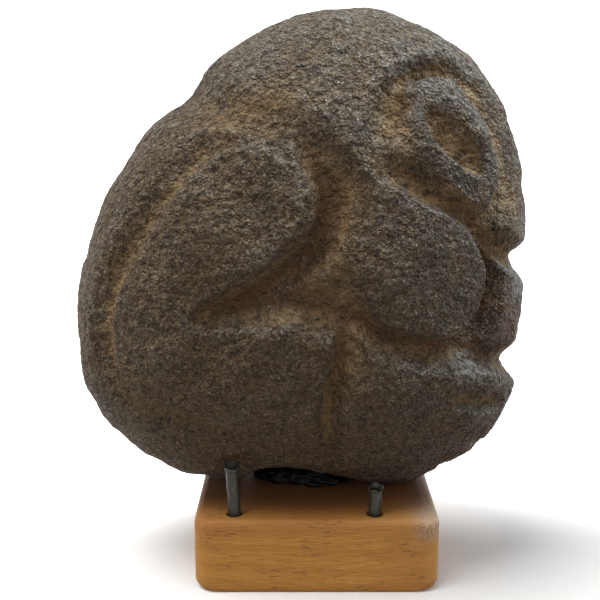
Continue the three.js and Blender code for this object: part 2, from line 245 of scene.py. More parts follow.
class Finish(Nodes):
    """A material whose nodes are written as sums."""

    def __init__(self, name):
        self.material = bpy.data.materials.new(name)
        self.material.use_nodes = True
        super().__init__(self.material.node_tree)
        self.shader = self.tree.nodes["Principled BSDF"]
        self.place = self.add("ShaderNodeTexCoord", out="Object")

    def set(self, **values):
        """Feeds the shader's sockets, named with _ for a space."""
        for name, value in values.items():
            self.feed(self.shader.inputs[name.replace("_", " ")], value)

    def bump(self, height, distance, strength=1.0):
        """Relief whose height of 1 stands for that distance in mm."""
        self.set(Normal=self.add("ShaderNodeBump", {}, {
            "Height": height, "Distance": distance * MM, "Strength": strength}))

    def attribute(self, name):
        return self.add("ShaderNodeAttribute", {"attribute_name": name}, out="Fac")


def wood_finish():
    """Growth rings, fibres and hairs along x, torn spots, a bare end, and painted shade on top.
    """
    wood = Finish("worn softwood")
    x, y, z = wood.place.parts()
    sway = wood.noise(wood.stretched(wood.place, (0.3, 1, 1)), 26, 2.0)
    from_pith = ((y - PITH_Y) ** 2 + (z - PITH_Z) ** 2) ** 0.5 + sway * PITH_SWAY
    ring = (from_pith * RINGS_A_METRE).math("FRACT")
    late_wood = ring.rise(0.35, 0.9) * (1 - ring.rise(0.92, 1.0))
    fibres = wood.noise(wood.stretched(wood.place, (0.06, 1, 1)), 0.45, 4.0, 0.7)
    hairs = wood.noise(wood.stretched(wood.place, (0.05, 1, 1)), 0.25, 2.0)
    streaks = wood.noise(wood.stretched(wood.place, (0.16, 1, 1)), 0.55, 2.0)
    patches = wood.noise(wood.stretched(wood.place, (0.4, 1, 1)), 8, 3.0)
    torn = streaks.rise(0.62, 0.68) * patches.rise(0.45, 0.6)
    colour = wood.mix(late_wood * 0.35, HONEY, AMBER)
    colour = wood.mix(fibres.rise(0.42, 0.62) * 0.6, colour, AMBER)
    colour = wood.mix(hairs.rise(0.52, 0.68) * 0.3, colour, TORN_WOOD)
    colour = wood.mix(patches.rise(0.5, 0.75) * 0.35, colour, RUSSET)
    colour = wood.mix(torn * 0.7, colour, TORN_WOOD)
    # Painted shade: the top 5 mm of the block are darker, and so is the end towards the front.
    colour = wood.mix(z.rise(0.019, 0.0243) * 0.6, colour, WOOD_PAINTED_SHADE)
    colour = wood.mix(x.rise(0.015, 0.045) * 0.3, colour, WOOD_PAINTED_SHADE)
    speckle = wood.noise(wood.place, 0.55, 2.0)
    end_grain = wood.mix(speckle.rise(0.4, 0.62), DARK_END_GRAIN, PALE_END_GRAIN)
    front_edge = (x + speckle * 0.006).rise(0.035, 0.045) * z.rise(0.014, 0.022)
    colour = wood.mix(front_edge * 0.8, colour, end_grain)
    under_stone = z.rise(0.0236, 0.0246) * (y + x.size() * -0.15).rise(-0.04, -0.022)
    colour = wood.mix(under_stone * 0.9, colour, WOOD_IN_SHADE)
    wood.set(Base_Color=colour, Roughness=0.5 + fibres * 0.2, Coat_Weight=0.08)
    wood.shader.inputs["Coat Roughness"].default_value = 0.35
    wood.shader.inputs["Specular IOR Level"].default_value = 0.3
    wood.bump(fibres * 0.6 + hairs * 0.6 - torn, 0.4)
    return wood.material


def block_grid_lines(low, high, cells):
    """Lines from low to high that stand closer near both ends."""
    t = np.linspace(0, 1, cells + 1)
    return low + (high - low) * (t - BLOCK_CROWDING * np.sin(2 * math.pi * t) / math.pi)


def block_points(points):
    """Turns a plain box of the block's size into the block, with its rounded edges."""
    x, y, z = points.T
    under = np.clip(1 - z / BLOCK_UNDER_EDGE, 0, 1)
    over = np.clip((z - BLOCK_TOP) / BLOCK_TOP_ROUNDING + 1, 0, 1)
    low = 1 - np.sqrt(1 - under ** 2)
    top = 1 - np.sqrt(1 - over ** 2)
    inset = low * BLOCK_UNDER_INSET + top * BLOCK_TOP_EDGE
    front = low * BLOCK_UNDER_INSET + top * BLOCK_WORN_EDGE
    sides = low * BLOCK_UNDER_SIDES + top * BLOCK_LONG_EDGE
    middle = (BLOCK_FRONT + BLOCK_BACK) / 2
    half = (BLOCK_FRONT - BLOCK_BACK) / 2
    x = middle + (x - middle) * (half - np.where(x > middle, front, inset)) / half
    y = y * (1 - sides / BLOCK_HALF_DEPTH)
    core_x = np.clip(x, BLOCK_BACK + inset + BLOCK_CORNER, BLOCK_FRONT - front - BLOCK_CORNER)
    core_y = np.clip(y, sides + BLOCK_CORNER - BLOCK_HALF_DEPTH,
                     BLOCK_HALF_DEPTH - sides - BLOCK_CORNER)
    off_x, off_y = x - core_x, y - core_y
    square = np.maximum(np.abs(off_x), np.abs(off_y))
    round_off = square / np.maximum(np.hypot(off_x, off_y), 1e-9)
    return np.stack([core_x + off_x * round_off, core_y + off_y * round_off, z], -1)


def hole_cutter(x, y, seed):
    """A drill's bore whose mouth is torn wider. A ring is a height and a share of the tear."""
    around = HOLE_TEARS * POINTS_A_TEAR
    angle = np.arange(around) * 2 * math.pi / around
    torn = np.random.default_rng(seed).uniform(0, 1, HOLE_TEARS).repeat(POINTS_A_TEAR)
    torn = (torn + np.roll(torn, POINTS_A_TEAR // 2)) / 2 * HOLE_TORN_LIP
    rings = ((BLOCK_TOP - HOLE_DEPTH, 0), (BLOCK_TOP - 0.7, 0), (BLOCK_TOP - 0.05, 0.6),
             (BLOCK_TOP + 1, 1.4))
    points = [(x, y, BLOCK_TOP - HOLE_DEPTH)]
    for height, share in rings:
        reach = HOLE_RADIUS + share * torn
        points += list(zip(x + reach * np.cos(angle), y + reach * np.sin(angle),
                           np.full(around, height)))
    points.append((x, y, BLOCK_TOP + 1))
    faces = []
    last = 1 + (len(rings) - 1) * around
    for k in range(around):
        nxt = (k + 1) % around
        faces.append((0, 1 + nxt, 1 + k))
        faces.append((len(points) - 1, last + k, last + nxt))
        for ring in range(len(rings) - 1):
            low = 1 + ring * around
            faces.append((low + k, low + nxt, low + nxt + around))
            faces.append((low + k, low + nxt + around, low + k + around))
    return new_piece("cutter", points, faces)


block_lines = [
    block_grid_lines(BLOCK_BACK, BLOCK_FRONT, BLOCK_CELLS[0]),
    block_grid_lines(-BLOCK_HALF_DEPTH, BLOCK_HALF_DEPTH, BLOCK_CELLS[1]),
    block_grid_lines(0, BLOCK_TOP, BLOCK_CELLS[2]),
]
box_points, box_quads = box_grid(block_lines)
block = new_piece("wood_block", block_points(box_points), box_quads)
for number, (hole_x, hole_y) in enumerate(HOLES):
    cutter = hole_cutter(hole_x, hole_y, number + 3)
    drill = block.modifiers.new("drill", "BOOLEAN")
    drill.operation = "DIFFERENCE"
    drill.solver = "EXACT"
    drill.object = cutter
    settle(block)
    bpy.data.objects.remove(cutter)
block.data.materials.clear()
block.data.materials.append(wood_finish())
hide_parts("wood_base")
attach(block, "root")

# Each pin is a short stub of thin metal tube, painted grey-green, pushed into its hole
# along the near edge. It was snapped off by hand, so its rim is flared, ragged and bright.
# The strip that becomes its wall turns from outside to inside in a small share of its way.
TUBE_RADIUS = 2.0
TUBE_WALL = 0.5
TUBE_AROUND = 49
TUBE_ALONG = 201
TUBE_TURN = 0.01
TUBES = (
    ("tube_back", "tube_pin_back", HOLES[0], {"Rise": 17.4, "Lean": -0.9, "Seed": 2.0}),
    ("tube_front", "tube_pin_front", HOLES[1], {"Rise": 10.2, "Lean": 0.3, "Seed": 7.0}),
)
TUBE_PAINT = (0.02, 0.019, 0.012, 1)
TUBE_SCUFF = (0.055, 0.053, 0.038, 1)
TUBE_BORE_SHADE = (0.006, 0.006, 0.005, 1)
BARE_METAL = (0.62, 0.6, 0.56, 1)


def tube_finish():
    """Dull paint with scuffs, bare metal on the torn rim, and painted shade, black, in the
    bore.
    """
    paint = Finish("scuffed tube")
    wear = paint.noise(paint.stretched(paint.place, (1, 1, 0.3)), 0.9, 4.0)
    colour = paint.mix(wear.rise(0.48, 0.7), TUBE_PAINT, TUBE_SCUFF)
    rim = paint.attribute("rim")
    bare = (rim + wear * 0.3 - 0.15).rise(0.45, 0.75)
    colour = paint.mix(bare, colour, BARE_METAL)
    # Painted shade: the inner wall of the bore is painted black.
    colour = paint.mix(paint.attribute("inside"), colour, TUBE_BORE_SHADE)
    paint.set(Base_Color=colour, Metallic=0.3 - bare * 0.2, Roughness=0.42 - bare * 0.12)
    paint.bump(wear, 0.06)
    return paint.material


def shape_tree(name, inputs):
    """An empty Geometry Nodes tree with those inputs, given as names and starting values."""
    tree = bpy.data.node_groups.new(name, "GeometryNodeTree")
    tree.interface.new_socket("Geometry", in_out="INPUT", socket_type="NodeSocketGeometry")
    for title, value in inputs.items():
        kind = "NodeSocketMaterial" if value is None else "NodeSocketFloat"
        plug = tree.interface.new_socket(title, in_out="INPUT", socket_type=kind)
        if value is not None:
            plug.default_value = value
    tree.interface.new_socket("Geometry", in_out="OUTPUT", socket_type="NodeSocketGeometry")
    nodes = Nodes(tree)
    entry = tree.nodes.new("NodeGroupInput")
    return nodes, {plug.name: Wire(nodes, plug) for plug in entry.outputs if plug.name}


def finish_tree(nodes, shape, material):
    """Ends a tree: real mesh, smooth, in its own material."""
    shape = nodes.add("GeometryNodeSetShadeSmooth", {}, {"Geometry": shape})
    shape = nodes.add("GeometryNodeRealizeInstances", {}, {0: shape})
    shape = nodes.add("GeometryNodeSetMaterial", {}, {"Geometry": shape, "Material": material})
    end = nodes.tree.nodes.new("NodeGroupOutput")
    nodes.feed(end.inputs[0], shape)
    return nodes.tree


def apply_tree(piece, tree, **values):
    """Runs the tree on the piece once with those values."""
    modifier = piece.modifiers.new(tree.name, "NODES")
    modifier.node_group = tree
    for item in tree.interface.items_tree:
        if item.in_out == "INPUT" and item.name in values:
            modifier[item.identifier] = values[item.name]
    settle(piece)


def tube_tree():
    """A bent stub of tube: its wall is a strip that goes up outside and down inside."""
    nodes, given = shape_tree("tube stub", {
        "Foot x": 0.0, "Foot y": 0.0, "Foot z": BLOCK_TOP, "Rise": 10.0, "Lean": 0.0,
        "Depth": float(HOLE_DEPTH), "Radius": TUBE_RADIUS, "Wall": TUBE_WALL, "Flare": 0.42,
        "Raggedness": 1.3, "Slant": 1.1, "Crush": 0.09, "Sway": 1.2, "Seed": 0.0,
        "Finish": None})
    strip = nodes.add("GeometryNodeMeshGrid", {}, {
        "Size X": 1.0, "Size Y": 1.0, "Vertices X": TUBE_AROUND, "Vertices Y": TUBE_ALONG})
    x, y, _ = nodes.add("GeometryNodeInputPosition").parts()
    angle = x * (2 * math.pi)
    way = y + 0.5
    outside = ((way - TUBE_TURN) / (0.5 - TUBE_TURN)).between_0_and_1()
    inside = ((1 - way) / (0.5 - TUBE_TURN)).between_0_and_1()
    up = outside.at_most(inside)
    turned_in = ((way - 0.5) / TUBE_TURN).between_0_and_1()
    inner = (1 - (way / TUBE_TURN).at_most(1)) + turned_in
    cosine, sine = angle.math("COSINE"), angle.math("SINE")
    chips = nodes.add("ShaderNodeTexNoise", {}, {
        "Vector": nodes.vector(cosine, sine, given["Seed"]), "Scale": 1.7, "Detail": 4.0,
        "Roughness": 0.7})
    torn = up.rise(0.88, 1.0)
    height = (given["Rise"] + given["Depth"]) * up - given["Depth"]
    height = height - chips.rise(0.4, 0.75) * torn * given["Raggedness"]
    height = height - (0.5 - sine * 0.5) * torn * given["Slant"]
    over_block = height.at_least(0) / given["Rise"]
    lean = over_block ** 1.6 * given["Lean"]
    kink = nodes.add("ShaderNodeTexNoise", {"noise_dimensions": "1D"},
                     {"W": height * 0.16 + given["Seed"], "Scale": 1.0, "Detail": 1.0})
    sway = (kink - 0.5) * over_block * given["Sway"]
    near_rim = up.rise(0.9, 1.0)
    reach = given["Radius"] - given["Wall"] * inner + given["Flare"] * near_rim * (chips + 0.3)
    crush = 1 + (angle * 2 + given["Seed"]).math("SINE") * near_rim * given["Crush"]
    place = nodes.vector(
        given["Foot x"] + lean + sway + cosine * reach * crush,
        given["Foot y"] + sine * reach / crush,
        given["Foot z"] + height)
    shape = nodes.add("GeometryNodeSetPosition", {}, {
        "Geometry": strip, "Position": nodes.scaled(place, MM)})
    shape = nodes.add("GeometryNodeStoreNamedAttribute", {"data_type": "FLOAT"}, {
        "Geometry": shape, "Name": "rim", "Value": up.rise(0.96, 1.0)})
    shape = nodes.add("GeometryNodeStoreNamedAttribute", {"data_type": "FLOAT"}, {
        "Geometry": shape, "Name": "inside", "Value": inner})
    shape = nodes.add("GeometryNodeMergeByDistance", {}, {"Geometry": shape, "Distance": 1e-6})
    return finish_tree(nodes, shape, given["Finish"])


stub_of_tube = tube_tree()
tube_material = tube_finish()
for name, node, (foot_x, foot_y), values in TUBES:
    tube = new_piece(name, np.eye(3), [(0, 1, 2)])
    apply_tree(tube, stub_of_tube, Finish=tube_material,
               **{"Foot x": float(foot_x), "Foot y": float(foot_y), **values})
    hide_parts(node)
    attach(tube, "root")

# Black putty is packed under the stone to bed it on the block. It is pressed in by hand
# as crumpled lumps, half glossy where the fingers slid over it, and fills the arch.
# Its near-black is also painted shade: it stands for the shade under the arch.
ARCH_BACK = -20
ARCH_FRONT = 27
ARCH_HEIGHT = 6.2
ARCH_FLARE = 0.0095
ARCH_LEVEL = 2.1
ARCH_BACK_BEND = 0.35
ARCH_FRONT_BEND = 0.9
PUTTY_MIDDLE = 3
PUTTY_HALF_LENGTH = 20
PUTTY_HALF_WIDTH = 14
PUTTY_GAP = 0.4
PUTTY_FOOT = 0.15
PUTTY_FOOT_LIFT = 0.25
PUTTY_UNDERCUT = 0.05
PUTTY_CLOSING = 0.985
PUTTY_BROW = 6
PUTTY_RINGS = 44
PUTTY_AROUND = 150
PUTTY_BLACK_AND_SHADE = (0.003, 0.003, 0.003, 1)
PUTTY_DUST = (0.006, 0.005, 0.004, 1)


def arch_height(x, y):
    """The underside of the stone, which is hollow between its two feet, most at the back."""
    t = np.clip((x - ARCH_BACK) / (ARCH_FRONT - ARCH_BACK), 0, 1)
    bend = ARCH_LEVEL * t ** ARCH_BACK_BEND * (1 - t) ** ARCH_FRONT_BEND
    return BLOCK_TOP + (ARCH_HEIGHT + ARCH_FLARE * y * y) * bend


def putty_finish():
    """Black and partly painted shade under the arch, with a little dust on its dull parts."""
    putty = Finish("black putty")
    dust = putty.noise(putty.place, 1.6, 4.0)
    putty.set(Base_Color=putty.mix(dust.rise(0.58, 0.8) * 0.5, PUTTY_BLACK_AND_SHADE, PUTTY_DUST),
              Roughness=0.3 + dust.rise(0.4, 0.7) * 0.5)
    putty.shader.inputs["Specular IOR Level"].default_value = 0.1
    putty.bump(putty.noise(putty.place, 0.8, 3.0), 0.15)
    return putty.material


def fold_tree():
    """Sinks sharp folds and lumps into a surface, along its normals."""
    nodes, given = shape_tree("folds", {"Size": 5.0, "Depth": 2.0, "Seed": 0.0, "Finish": None})
    place = nodes.moved(nodes.add("GeometryNodeInputPosition"),
                        nodes.vector(given["Seed"], 0.0, 0.0))
    folds = nodes.add("ShaderNodeTexNoise", {}, {
        "Vector": place, "Scale": 1 / (given["Size"] * MM), "Detail": 3.0,
        "Roughness": 0.5, "Distortion": 1.2})
    crease = 1 - ((folds - 0.5).size() * 6).at_most(1)
    drop = nodes.scaled(nodes.add("GeometryNodeInputNormal"), crease * given["Depth"] * -MM)
    shape = nodes.add("GeometryNodeSetPosition", {}, {
        "Geometry": given["Geometry"], "Offset": drop})
    return finish_tree(nodes, shape, given["Finish"])


def putty_rings():
    """The lump from its foot over its brow to its middle, as rings."""
    angle = np.arange(PUTTY_AROUND) * 2 * math.pi / PUTTY_AROUND
    points = []
    for t in np.linspace(0, 1, PUTTY_RINGS):
        foot = min(t / PUTTY_FOOT, 1)
        over = smooth((t - PUTTY_FOOT) / (1 - PUTTY_FOOT))
        scale = 1 - PUTTY_UNDERCUT * (1 - smooth(foot)) - PUTTY_CLOSING * over
        lift = max(PUTTY_FOOT_LIFT * foot, (over > 0) * (1 - scale ** PUTTY_BROW) ** 0.5)
        x = PUTTY_MIDDLE + PUTTY_HALF_LENGTH * scale * np.cos(angle)
        y = PUTTY_HALF_WIDTH * scale * np.sin(angle)
        z = BLOCK_TOP + lift * (arch_height(x, y) - PUTTY_GAP - BLOCK_TOP)
        points.append(np.stack([x, y, z], -1))
    return np.concatenate(points)


def ring_quads(rings, around):
    """Quads between rings, with both ends closed."""
    k = np.arange(around)
    nxt = (k + 1) % around
    quads = [np.stack([k, nxt, nxt + around, k + around], -1) + r * around
             for r in range(rings - 1)]
    faces = np.concatenate(quads).tolist()
    faces.append(k[::-1].tolist())
    faces.append((k + (rings - 1) * around).tolist())
    return faces


def new_ring_piece(name, points, around):
    """A closed piece from rings of that many points each, given in mm."""
    mesh = bpy.data.meshes.new(name)
    mesh.from_pydata((points * MM).tolist(), [], ring_quads(len(points) // around, around))
    mesh.shade_smooth()
    piece = bpy.data.objects.new(name, mesh)
    bpy.context.scene.collection.objects.link(piece)
    return piece


putty = new_ring_piece("putty_lumps", putty_rings(), PUTTY_AROUND)
folds = fold_tree()
putty_material = putty_finish()
apply_tree(putty, folds, Size=6.0, Depth=1.6, Seed=0.11, Finish=putty_material)
apply_tree(putty, folds, Size=2.6, Depth=0.5, Seed=0.52, Finish=putty_material)
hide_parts("putty_pad")
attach(putty, "root")

# The head is one piece of dark, gritty volcanic stone. It is pecked into an egg that
# leans forward, and its ringed eye, cheek, nose, mouth and bent arm are cut in relief.
# The near side is drawn here, and the far side is its mirror, cut a little shallower.
HEART = np.array([0, 0, 100.0])
HALF_THICKNESS = 50
SIDE_FULLNESS = 2.3
UNDERSIDE_FULLNESS = 1.98
UNDERSIDE_FROM = 0.45
UNDERSIDE_FADE = 0.4
FAR_SIDE_DEPTH = 0.85
FAR_SIDE_FADE = 20
CUT_STEPS = 6
CUT_JOIN = 4
BROAD_SIDE = 1.6
STONE_CELLS = (160, 72, 160)
SLOW_WAVES = 0.45
QUICK_WAVES = 0.25
# The outline of the uncut pebble from the side, as x and z.
PROFILE = [
    [74.6, 91], [74.3, 102], [73.4, 123], [71.4, 134], [67.6, 147], [61.7, 159.5],
    [52.5, 169.4], [42, 176], [28, 181.6], [14, 183.2], [0, 181.2], [-15.5, 174.5],
    [-28, 165.5], [-32, 160], [-36.2, 155.1], [-47.8, 146.4], [-58.2, 132.6],
    [-68.2, 114], [-74, 93.5], [-75.3, 82], [-73.6, 64], [-66, 47], [-59.3, 39.2],
    [-44, 29.2], [-25, 24.8], [-16, 24.2], [8, 25.2], [30, 24], [38.5, 24.6],
    [52.3, 30.6], [64.3, 40.2], [70.4, 51.2], [73, 63], [73.8, 76],
]
# Each cut is a path on the near side. A row is x, z, depth, and the widths of its left and
# right slopes, as seen from outside by someone who goes along the path.
CUTS = {
    "nape": [[-33.4, 155.2, 2, 11, 13], [-21.8, 151.1, 2.6, 10, 10],
             [-1.1, 145.5, 1.6, 10, 10], [5.1, 138.4, 1.2, 10, 10]],
    "outside of arm": [[-9.7, 147.1, 0.8, 5, 8], [-27.7, 140.6, 2.8, 5, 9],
                       [-42.8, 123.7, 3.2, 5, 9], [-57.7, 99.8, 3.2, 5, 9],
                       [-60.5, 78, 3, 5, 9], [-52.9, 63.5, 2.6, 5, 9],
                       [-26.3, 54.2, 2.4, 5, 9], [5.8, 41.1, 2.4, 5, 8]],
    "inside of arm": [[-2.8, 148.2, 0.5, 8, 6], [6.8, 132.8, 6.5, 15, 6.5],
                      [7.1, 123.4, 7.5, 15, 6.5], [3.1, 114.1, 8, 15, 6.5],
                      [-5.2, 105.4, 8, 13, 6.5], [-15.9, 98.3, 7.5, 9, 6.5],
                      [-27.1, 93.2, 5, 5, 5]],
    "top of forearm": [[-29.8, 91.8, 3, 4, 4], [-21.7, 94.5, 5, 7, 7],
                       [-11.5, 96.9, 6, 12, 9.5], [0, 97.2, 6, 14, 10.5],
                       [14.5, 91.5, 5, 9, 8]],
    "end of forearm": [[13.9, 93.2, 4, 9, 6], [11.7, 79.8, 5.4, 12, 4],
                       [7.9, 59.8, 4.6, 7, 4], [8.4, 38.9, 2.4, 7, 5]],
    "under cheek": [[10, 113.2, 2.5, 9, 9], [11.5, 103, 4, 8, 10], [20.9, 90.1, 6, 3.5, 8],
                    [34.5, 84.2, 6, 3.5, 9], [49.2, 81.4, 6, 4, 9], [62.6, 76, 5.8, 6, 7],
                    [74, 67.8, 5.4, 9.5, 7.5]],
    "cheek to nose": [[49.9, 121.5, 3, 5, 5], [57.7, 110.7, 6.5, 6, 4.5],
                      [59.4, 97.6, 8, 7, 5], [54.7, 85.6, 8.5, 8, 5], [50.7, 83, 7, 7, 5]],
    "under eye": [[19.8, 141.1, 1.5, 7, 8], [28.8, 133.6, 3.6, 8, 5],
                  [41.6, 126.4, 4.8, 8, 4.5], [53.2, 119.2, 5.8, 8, 4.5],
                  [63.2, 109.6, 5.4, 7, 5.5], [74.6, 103.8, 5, 6, 10.5]],
    "round eye": [[21.5, 140.5, 1.8, 8, 7], [26.6, 152.4, 4.8, 9, 7], [35, 163, 7, 6, 4.5],
                  [46.8, 163.1, 5.2, 8, 4], [56.8, 151.4, 3.4, 11, 4],
                  [62.1, 135.4, 2.6, 12, 4], [57, 117.5, 5.5, 7, 5]],
    "mouth": [[42.8, 66.2, 0.3, 5, 2.5], [49.5, 63.4, 2.6, 7, 3], [56, 61, 3.8, 7, 3],
              [62, 59.4, 3.2, 6.5, 3], [67, 58.6, 0.3, 5, 3]],
    "under lip": [[37, 56.9, 0.3, 3, 3], [43.4, 54.4, 1.8, 4, 4], [48.9, 51.5, 2.2, 4, 4],
                  [62, 39.2, 2, 4, 4]],
    "chin fold": [[38.4, 40.1, 0.3, 3, 3], [44.8, 36.3, 1.4, 3.5, 3.5],
                  [50.5, 30.2, 1.4, 3.5, 3.5]],
}
# The eye is a raised ring round a long pit. Its slope starts at RING_FROM of its size and
# is RING_FADE long, and the low side adds to both, so that it falls off more gently.
EYE_RING = {"x": 44.9, "z": 142.5, "length": 24.3, "width": 14.3, "tilt": -25, "rise": 2.2}
RING_FROM = 0.8
RING_FADE = 0.24
RING_LOW_FROM = -0.28
RING_LOW_FADE = 0.34
RING_LOW_TURN = -1.2
RING_ROUNDING = 0.4
EYE_PIT = [[36, 153, 0.4, 7, 3], [37.6, 149.5, 3, 9, 3], [40.1, 144.7, 4.6, 12, 3],
           [43.7, 140.5, 5.2, 12, 3], [47.5, 137.5, 5.2, 11, 3], [51, 135.2, 4, 9, 3],
           [54.2, 133.4, 0.6, 6, 3]]
# The cheek, the arm and the chin swell a little, and there is a hollow over the back tube.
# What lies deeper than OVAL_NEARNESS under the middle of an oval is outside it.
OVAL_NEARNESS = 22
OVAL_OUTSIDE = 9
SWELL_REACH = 1.15
SWELLS = [
    {"x": 32.5, "z": 107, "length": 27, "width": 25, "tilt": 15, "rise": 2},
    {"x": -21, "z": 112, "length": 39, "width": 20, "tilt": -40, "rise": 1.6},
    {"x": 30, "z": 62, "length": 30, "width": 20, "tilt": 80, "rise": 1.2},
    {"x": -19, "z": 38, "length": 9, "width": 6, "tilt": 60, "rise": -4},
]
STONE_BROWN = (0.128, 0.079, 0.035, 1)
STONE_GREY = (0.174, 0.138, 0.094, 1)
STONE_DARK = (0.054, 0.039, 0.025, 1)
STONE_SHEEN = (0.3, 0.275, 0.24, 1)
STONE_OCHRE = (0.36, 0.225, 0.1, 1)
STONE_RUST = (0.13, 0.058, 0.022, 1)
STONE_PORE = (0.016, 0.01, 0.005, 1)
STONE_PIT = (0.008, 0.005, 0.003, 1)
STONE_GRAIN = (0.34, 0.25, 0.14, 1)
STONE_GLINT = (0.55, 0.54, 0.5, 1)
# The stone is darker in front of FACE_FROM and below BROW_TOP, and on the ring of the eye.
FACE_FROM = 12
FACE_FADE = 34
BROW_TOP = 152
BROW_FADE = 40
RING_DARKNESS = 1.5
EDGE_ROUNDS = 3
SHELTER_ROUNDS = 60
EDGE_SHEEN = 0.7
RUST_DEPTH = 3.6
DIRT_FADE = 2.6
# Ochre dirt lies in the cuts, and is thickest in these ovals and in the pit of the eye.
DIRTY_REACH = 1.1
DIRTY_OVALS = [
    {"x": 30, "z": 149, "length": 15, "width": 6.5, "tilt": 0},
    {"x": 64, "z": 128, "length": 26, "width": 8, "tilt": -8},
    {"x": -14, "z": 153, "length": 26, "width": 11, "tilt": 80},
]
# Rust-brown dirt lies where the cuts are deepest, at the bottom of the back and under the
# nose, and the deepest parts are painted darker as shade, near black under the nose. A
# spot's middle and reach are in mm, and most is how strong it is in its middle.
RUST_AND_SHADE_SPOTS = [
    {"middle": (-27, -38, 37), "reach": (11, 20, 20), "most": 0.8},
    {"middle": (60, -25, 84), "reach": (10, 18, 13), "most": 1.4},
]
# Painted highlights: the sides of the nose and the lower lip are painted a paler grey, as a
# sheen, and so is every edge that faces up.
SHEEN_SPOTS = [
    {"middle": (68, -14, 97), "reach": (7, 14, 7), "most": 1.3},
    {"middle": (55, -33, 75), "reach": (14, 14, 6), "most": 1},
    {"middle": (72, -14, 112), "reach": (5, 14, 9), "most": 1.3},
]


def smooth_rows(rows, steps):
    """More rows on one smooth curve through the given ones."""
    rows = np.array(rows, float)
    last = len(rows) - 1
    out = []
    for i in range(last):
        a, b, c, d = (rows[min(max(k, 0), last)] for k in (i - 1, i, i + 1, i + 2))
        for t in np.arange(steps) / steps:
            bend = 2 * a - 5 * b + 4 * c - d
            twist = 3 * (b - c) + d - a
            out.append(0.5 * (2 * b + (c - a) * t + bend * t * t + twist * t ** 3))
    return np.array(out + [rows[last]])


outline = np.array(PROFILE, float) - HEART[[0, 2]]
in_turn = np.argsort(np.arctan2(outline[:, 1], outline[:, 0]))
outline_angle = np.arctan2(outline[:, 1], outline[:, 0])[in_turn]
outline_reach = np.hypot(outline[:, 0], outline[:, 1])[in_turn]


def profile_radius(angle):
    """How far the outline is from the heart in that direction."""
    count = len(outline_angle)
    a = outline_angle[0] + np.mod(angle - outline_angle[0], 2 * np.pi)
    i = np.searchsorted(outline_angle, a, side="right") - 1

    def at(k):
        return outline_angle[k % count] + (k // count) * 2 * np.pi, outline_reach[k % count]

    (a0, r0), (a1, r1), (a2, r2), (a3, r3) = (at(i + k) for k in (-1, 0, 1, 2))
    span = a2 - a1
    t = (a - a1) / span
    slope1, slope2 = (r2 - r0) / (a2 - a0), (r3 - r1) / (a3 - a1)
    return ((2 * t ** 3 - 3 * t ** 2 + 1) * r1 + (t ** 3 - 2 * t ** 2 + t) * span * slope1
            + (3 * t ** 2 - 2 * t ** 3) * r2 + (t ** 3 - t ** 2) * span * slope2)


def pebble_level(p):
    """1 on the uncut pebble, less inside it and more outside it."""
    d = p - HEART
    up = d[..., 2] / np.linalg.norm(d, axis=-1)
    under = smooth((-up - UNDERSIDE_FROM) / UNDERSIDE_FADE)
    n = SIDE_FULLNESS + (UNDERSIDE_FULLNESS - SIDE_FULLNESS) * under
    across = np.hypot(d[..., 0], d[..., 2]) / profile_radius(np.arctan2(d[..., 2], d[..., 0]))
    return (across ** n + (np.abs(d[..., 1]) / HALF_THICKNESS) ** n) ** (1 / n)


def pebble_normal(p, step=1.5):
    """The way out of the pebble at each point, from its level one step to each side."""
    g = np.stack([pebble_level(p + e) - pebble_level(p - e) for e in np.eye(3) * step], -1)
    return g / np.linalg.norm(g, axis=-1, keepdims=True)


def side_point(x, z):
    """The point of the pebble's near side at that x and z."""
    x, z = np.atleast_1d(x) - HEART[0], np.atleast_1d(z) - HEART[2]
    angle = np.arctan2(z, x)
    reach = profile_radius(angle)
    out = np.minimum(np.hypot(x, z), reach)
    y = -HALF_THICKNESS * (1 - (out / reach) ** SIDE_FULLNESS) ** (1 / SIDE_FULLNESS)
    return np.stack([HEART[0] + out * np.cos(angle), y, HEART[2] + out * np.sin(angle)], -1)


def cut_depth(p, rows):
    """How deep one cut is at each point."""
    fine = smooth_rows(rows, CUT_STEPS)
    path = side_point(fine[:, 0], fine[:, 1])
    nearest = np.full(len(p), np.inf)
    depth = np.zeros(len(p))
    for k in range(len(path) - 1):
        along = path[k + 1] - path[k]
        left = np.cross(pebble_normal(path[k]), along)
        left /= np.linalg.norm(left)
        off = p - path[k]
        t = np.clip(off @ along / (along @ along), 0, 1)
        off = off - t[:, None] * along
        distance = np.linalg.norm(off, axis=1)
        deep, wide_left, wide_right = (fine[k, c] + (fine[k + 1, c] - fine[k, c]) * t
                                       for c in (2, 3, 4))
        side = off @ left / np.maximum(distance, 1e-6)
        width = wide_right + (wide_left - wide_right) * smooth((side + 1) / 2)
        near = distance < nearest
        nearest = np.where(near, distance, nearest)
        depth = np.where(near, deep * (1 - smooth(distance / width)), depth)
    return depth


def oval_place(p, oval):
    """How far out each point is in an oval laid on the near side: 1 is its edge. The second
    value is how far it lies across the oval's length, as a share of its width."""
    centre = side_point(oval["x"], oval["z"])[0]
    out = pebble_normal(centre)
    level = np.cross([0, 0, 1], out)
    level /= np.linalg.norm(level)
    tilt = np.radians(oval["tilt"])
    long = np.cross(out, level) * np.cos(tilt) + level * np.sin(tilt)
    d = p - centre
    across = d @ np.cross(long, out) / oval["width"]
    reach = np.hypot(d @ long / oval["length"], across)
    return np.where(d @ out < -OVAL_NEARNESS, OVAL_OUTSIDE, reach), across


def in_oval(p, oval, spread):
    """1 in the middle of the oval, and 0 from that many times its reach on."""
    return 1 - smooth(oval_place(p, oval)[0] / spread)


def near_side_of(p):
    """The same points, with those of the far side mirrored to the near one."""
    return p * [1, 0, 1] - [0, 1, 0] * np.abs(p)


def all_cuts(p):
    """How deep the cuts are at each point of the near side, run together where they meet."""
    return sum(cut_depth(p, rows) ** CUT_JOIN for rows in CUTS.values()) ** (1 / CUT_JOIN)


